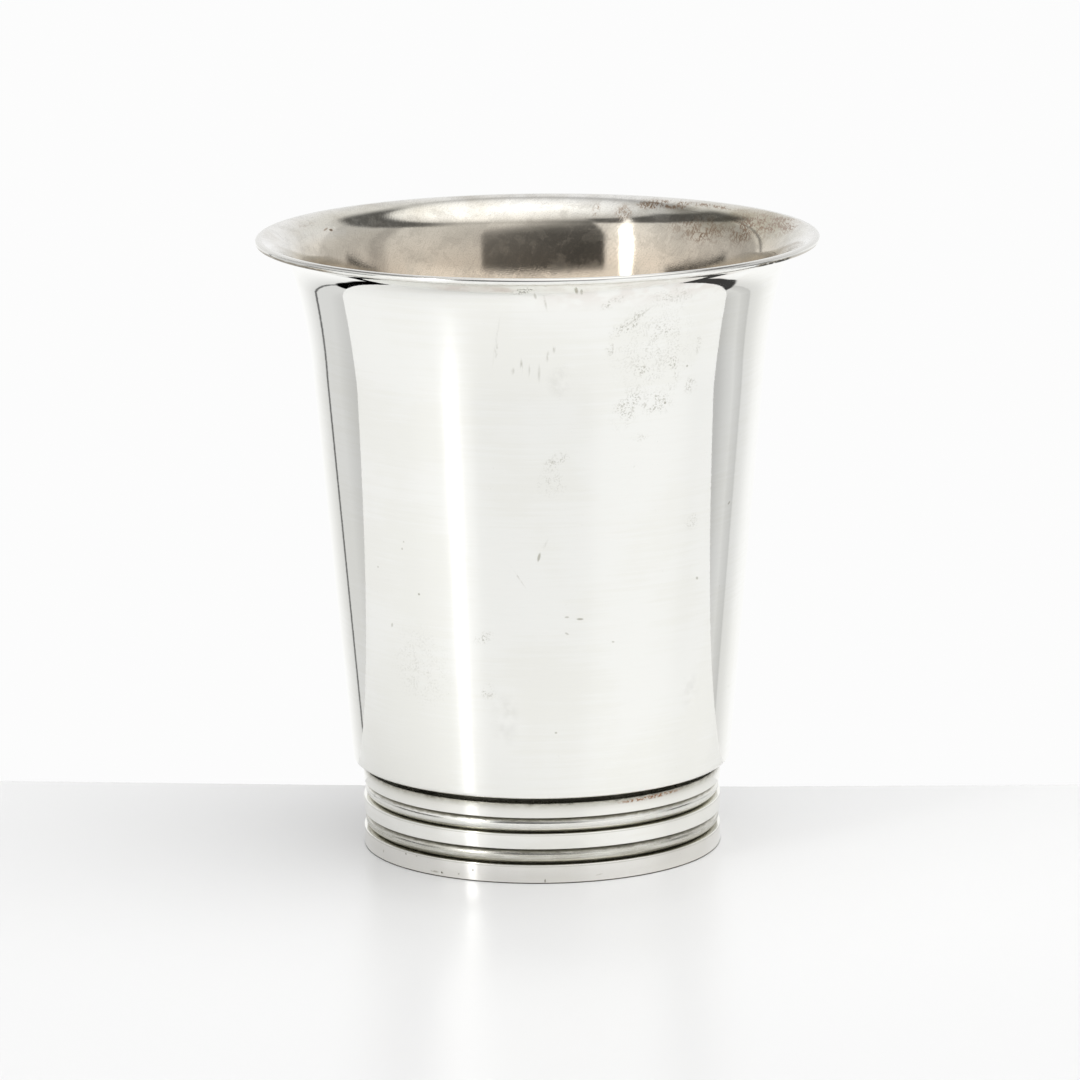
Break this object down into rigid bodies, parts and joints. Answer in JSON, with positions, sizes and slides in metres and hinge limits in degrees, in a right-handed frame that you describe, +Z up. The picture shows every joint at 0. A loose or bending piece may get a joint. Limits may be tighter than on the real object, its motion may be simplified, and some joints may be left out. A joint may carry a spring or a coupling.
{
  "type": "julep cup",
  "caption": "Tapered drinking cup of polished silver plate, with a rolled flaring rim and a stepped ring foot, for mint juleps and other cold drinks.",
  "frame": {"origin": "on the cup's axis, in the plane of the surface that the foot stands on", "axes": "+Z up along the cup's axis; the cup is the same all round, and the picture looks along +Y"},
  "size_m": [0.0906, 0.0906, 0.1],
  "materials": {
    "body_silver": "polished",
    "wire_silver": "polished",
    "collar_silver": "satin",
    "band_silver": "polished",
    "bead_silver": "polished"
  },
  "bodies": {
    "root": {"body_shell": "body_silver", "lip_wire": "wire_silver", "foot_collar": "collar_silver", "upper_band": "band_silver", "upper_bead": "bead_silver", "middle_band": "band_silver", "lower_bead": "bead_silver", "base_band": "band_silver"}
  },
  "joints": []
}
